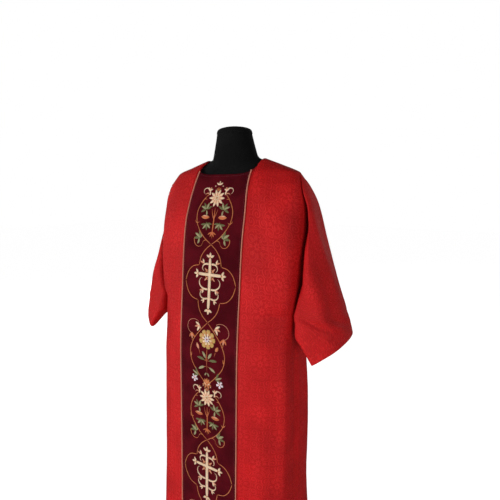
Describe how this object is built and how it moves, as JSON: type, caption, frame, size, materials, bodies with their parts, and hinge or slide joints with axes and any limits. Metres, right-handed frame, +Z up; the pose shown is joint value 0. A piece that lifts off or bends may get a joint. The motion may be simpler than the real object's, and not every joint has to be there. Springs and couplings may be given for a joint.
{
  "type": "dalmatic on a dress form",
  "caption": "Wide-sleeved dalmatic with a velvet orphrey between two cords, hanging open from a limbless dress form on a pole and round base.",
  "frame": {"origin": "centre of the base's underside, on the floor", "axes": "+Z up, -Y to the garment's front, +X to the wearer's left"},
  "size_m": [0.7124, 0.3885, 1.5538],
  "materials": {
    "red_damask": "tone-on-tone damask with a low sheen",
    "burgundy_velvet": "short-pile velvet with silk and gold thread embroidery",
    "gold_cord": "twisted gold and peach thread",
    "black_cover": "matt knitted cover",
    "black_metal": "satin black paint"
  },
  "bodies": {
    "root": {"front_panel": "red_damask", "back_panel": "red_damask", "sleeve_left": "red_damask", "sleeve_right": "red_damask", "orphrey": "burgundy_velvet", "cord_left": "gold_cord", "cord_right": "gold_cord", "form_torso": "black_cover", "form_neck_cap": "black_cover", "form_socket": "black_metal", "form_pole": "black_metal", "form_base": "black_metal"}
  },
  "joints": []
}
